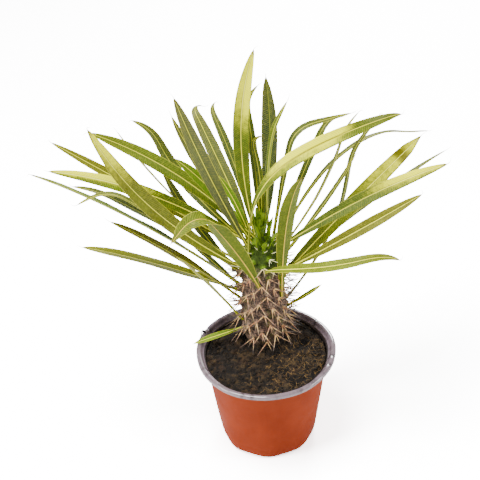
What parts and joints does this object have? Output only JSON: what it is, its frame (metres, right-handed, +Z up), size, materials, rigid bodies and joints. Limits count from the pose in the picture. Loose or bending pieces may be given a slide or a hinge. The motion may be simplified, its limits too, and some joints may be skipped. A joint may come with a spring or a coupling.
{
  "type": "potted succulent tree",
  "caption": "Potted Madagascar palm: a swollen spiny trunk with a crown of long narrow leaves, growing in soil in a thin-walled round nursery pot with a turned-out rim.",
  "frame": {"origin": "centre of the pot's flat foot, on the surface that it stands on", "axes": "+Z up along the pot's axis; the trunk stands off the axis towards +Y, and -Y is the side seen from the front"},
  "size_m": [0.384, 0.2414, 0.3992],
  "materials": {
    "terracotta": "semi-gloss terracotta-coloured moulded plastic, greyed on the rim",
    "soil": "dark brown crumbly potting soil with fibres",
    "bark": "grey-brown bark with olive patches and pale tan thorns",
    "young_leaf": "bright green, waxy",
    "leaf": "olive green, waxy, with a pale midrib"
  },
  "bodies": {
    "root": {"pot": "terracotta", "soil": "soil", "trunk": "bark", "young_leaves": "young_leaf", "leaf_01": "leaf", "leaf_02": "leaf", "leaf_03": "leaf", "leaf_04": "leaf", "leaf_05": "leaf", "leaf_06": "leaf", "leaf_07": "leaf", "leaf_08": "leaf", "leaf_09": "leaf", "leaf_10": "leaf", "leaf_11": "leaf", "leaf_12": "leaf", "leaf_13": "leaf", "leaf_14": "leaf", "leaf_15": "leaf", "leaf_16": "leaf", "leaf_17": "leaf", "leaf_18": "leaf", "leaf_19": "leaf", "leaf_20": "leaf", "leaf_21": "leaf", "leaf_22": "leaf", "leaf_23": "leaf", "leaf_24": "leaf", "leaf_25": "leaf", "leaf_26": "leaf", "leaf_27": "leaf", "leaf_28": "leaf", "leaf_29": "leaf", "leaf_30": "leaf", "leaf_31": "leaf", "leaf_32": "leaf", "leaf_33": "leaf", "leaf_34": "leaf", "leaf_35": "leaf", "leaf_36": "leaf", "leaf_37": "leaf", "leaf_38": "leaf", "leaf_39": "leaf", "leaf_40": "leaf", "leaf_41": "leaf", "leaf_42": "leaf", "side_leaf_1": "young_leaf", "side_leaf_2": "young_leaf", "side_leaf_3": "young_leaf", "side_leaf_4": "young_leaf", "side_leaf_5": "young_leaf"}
  },
  "joints": []
}
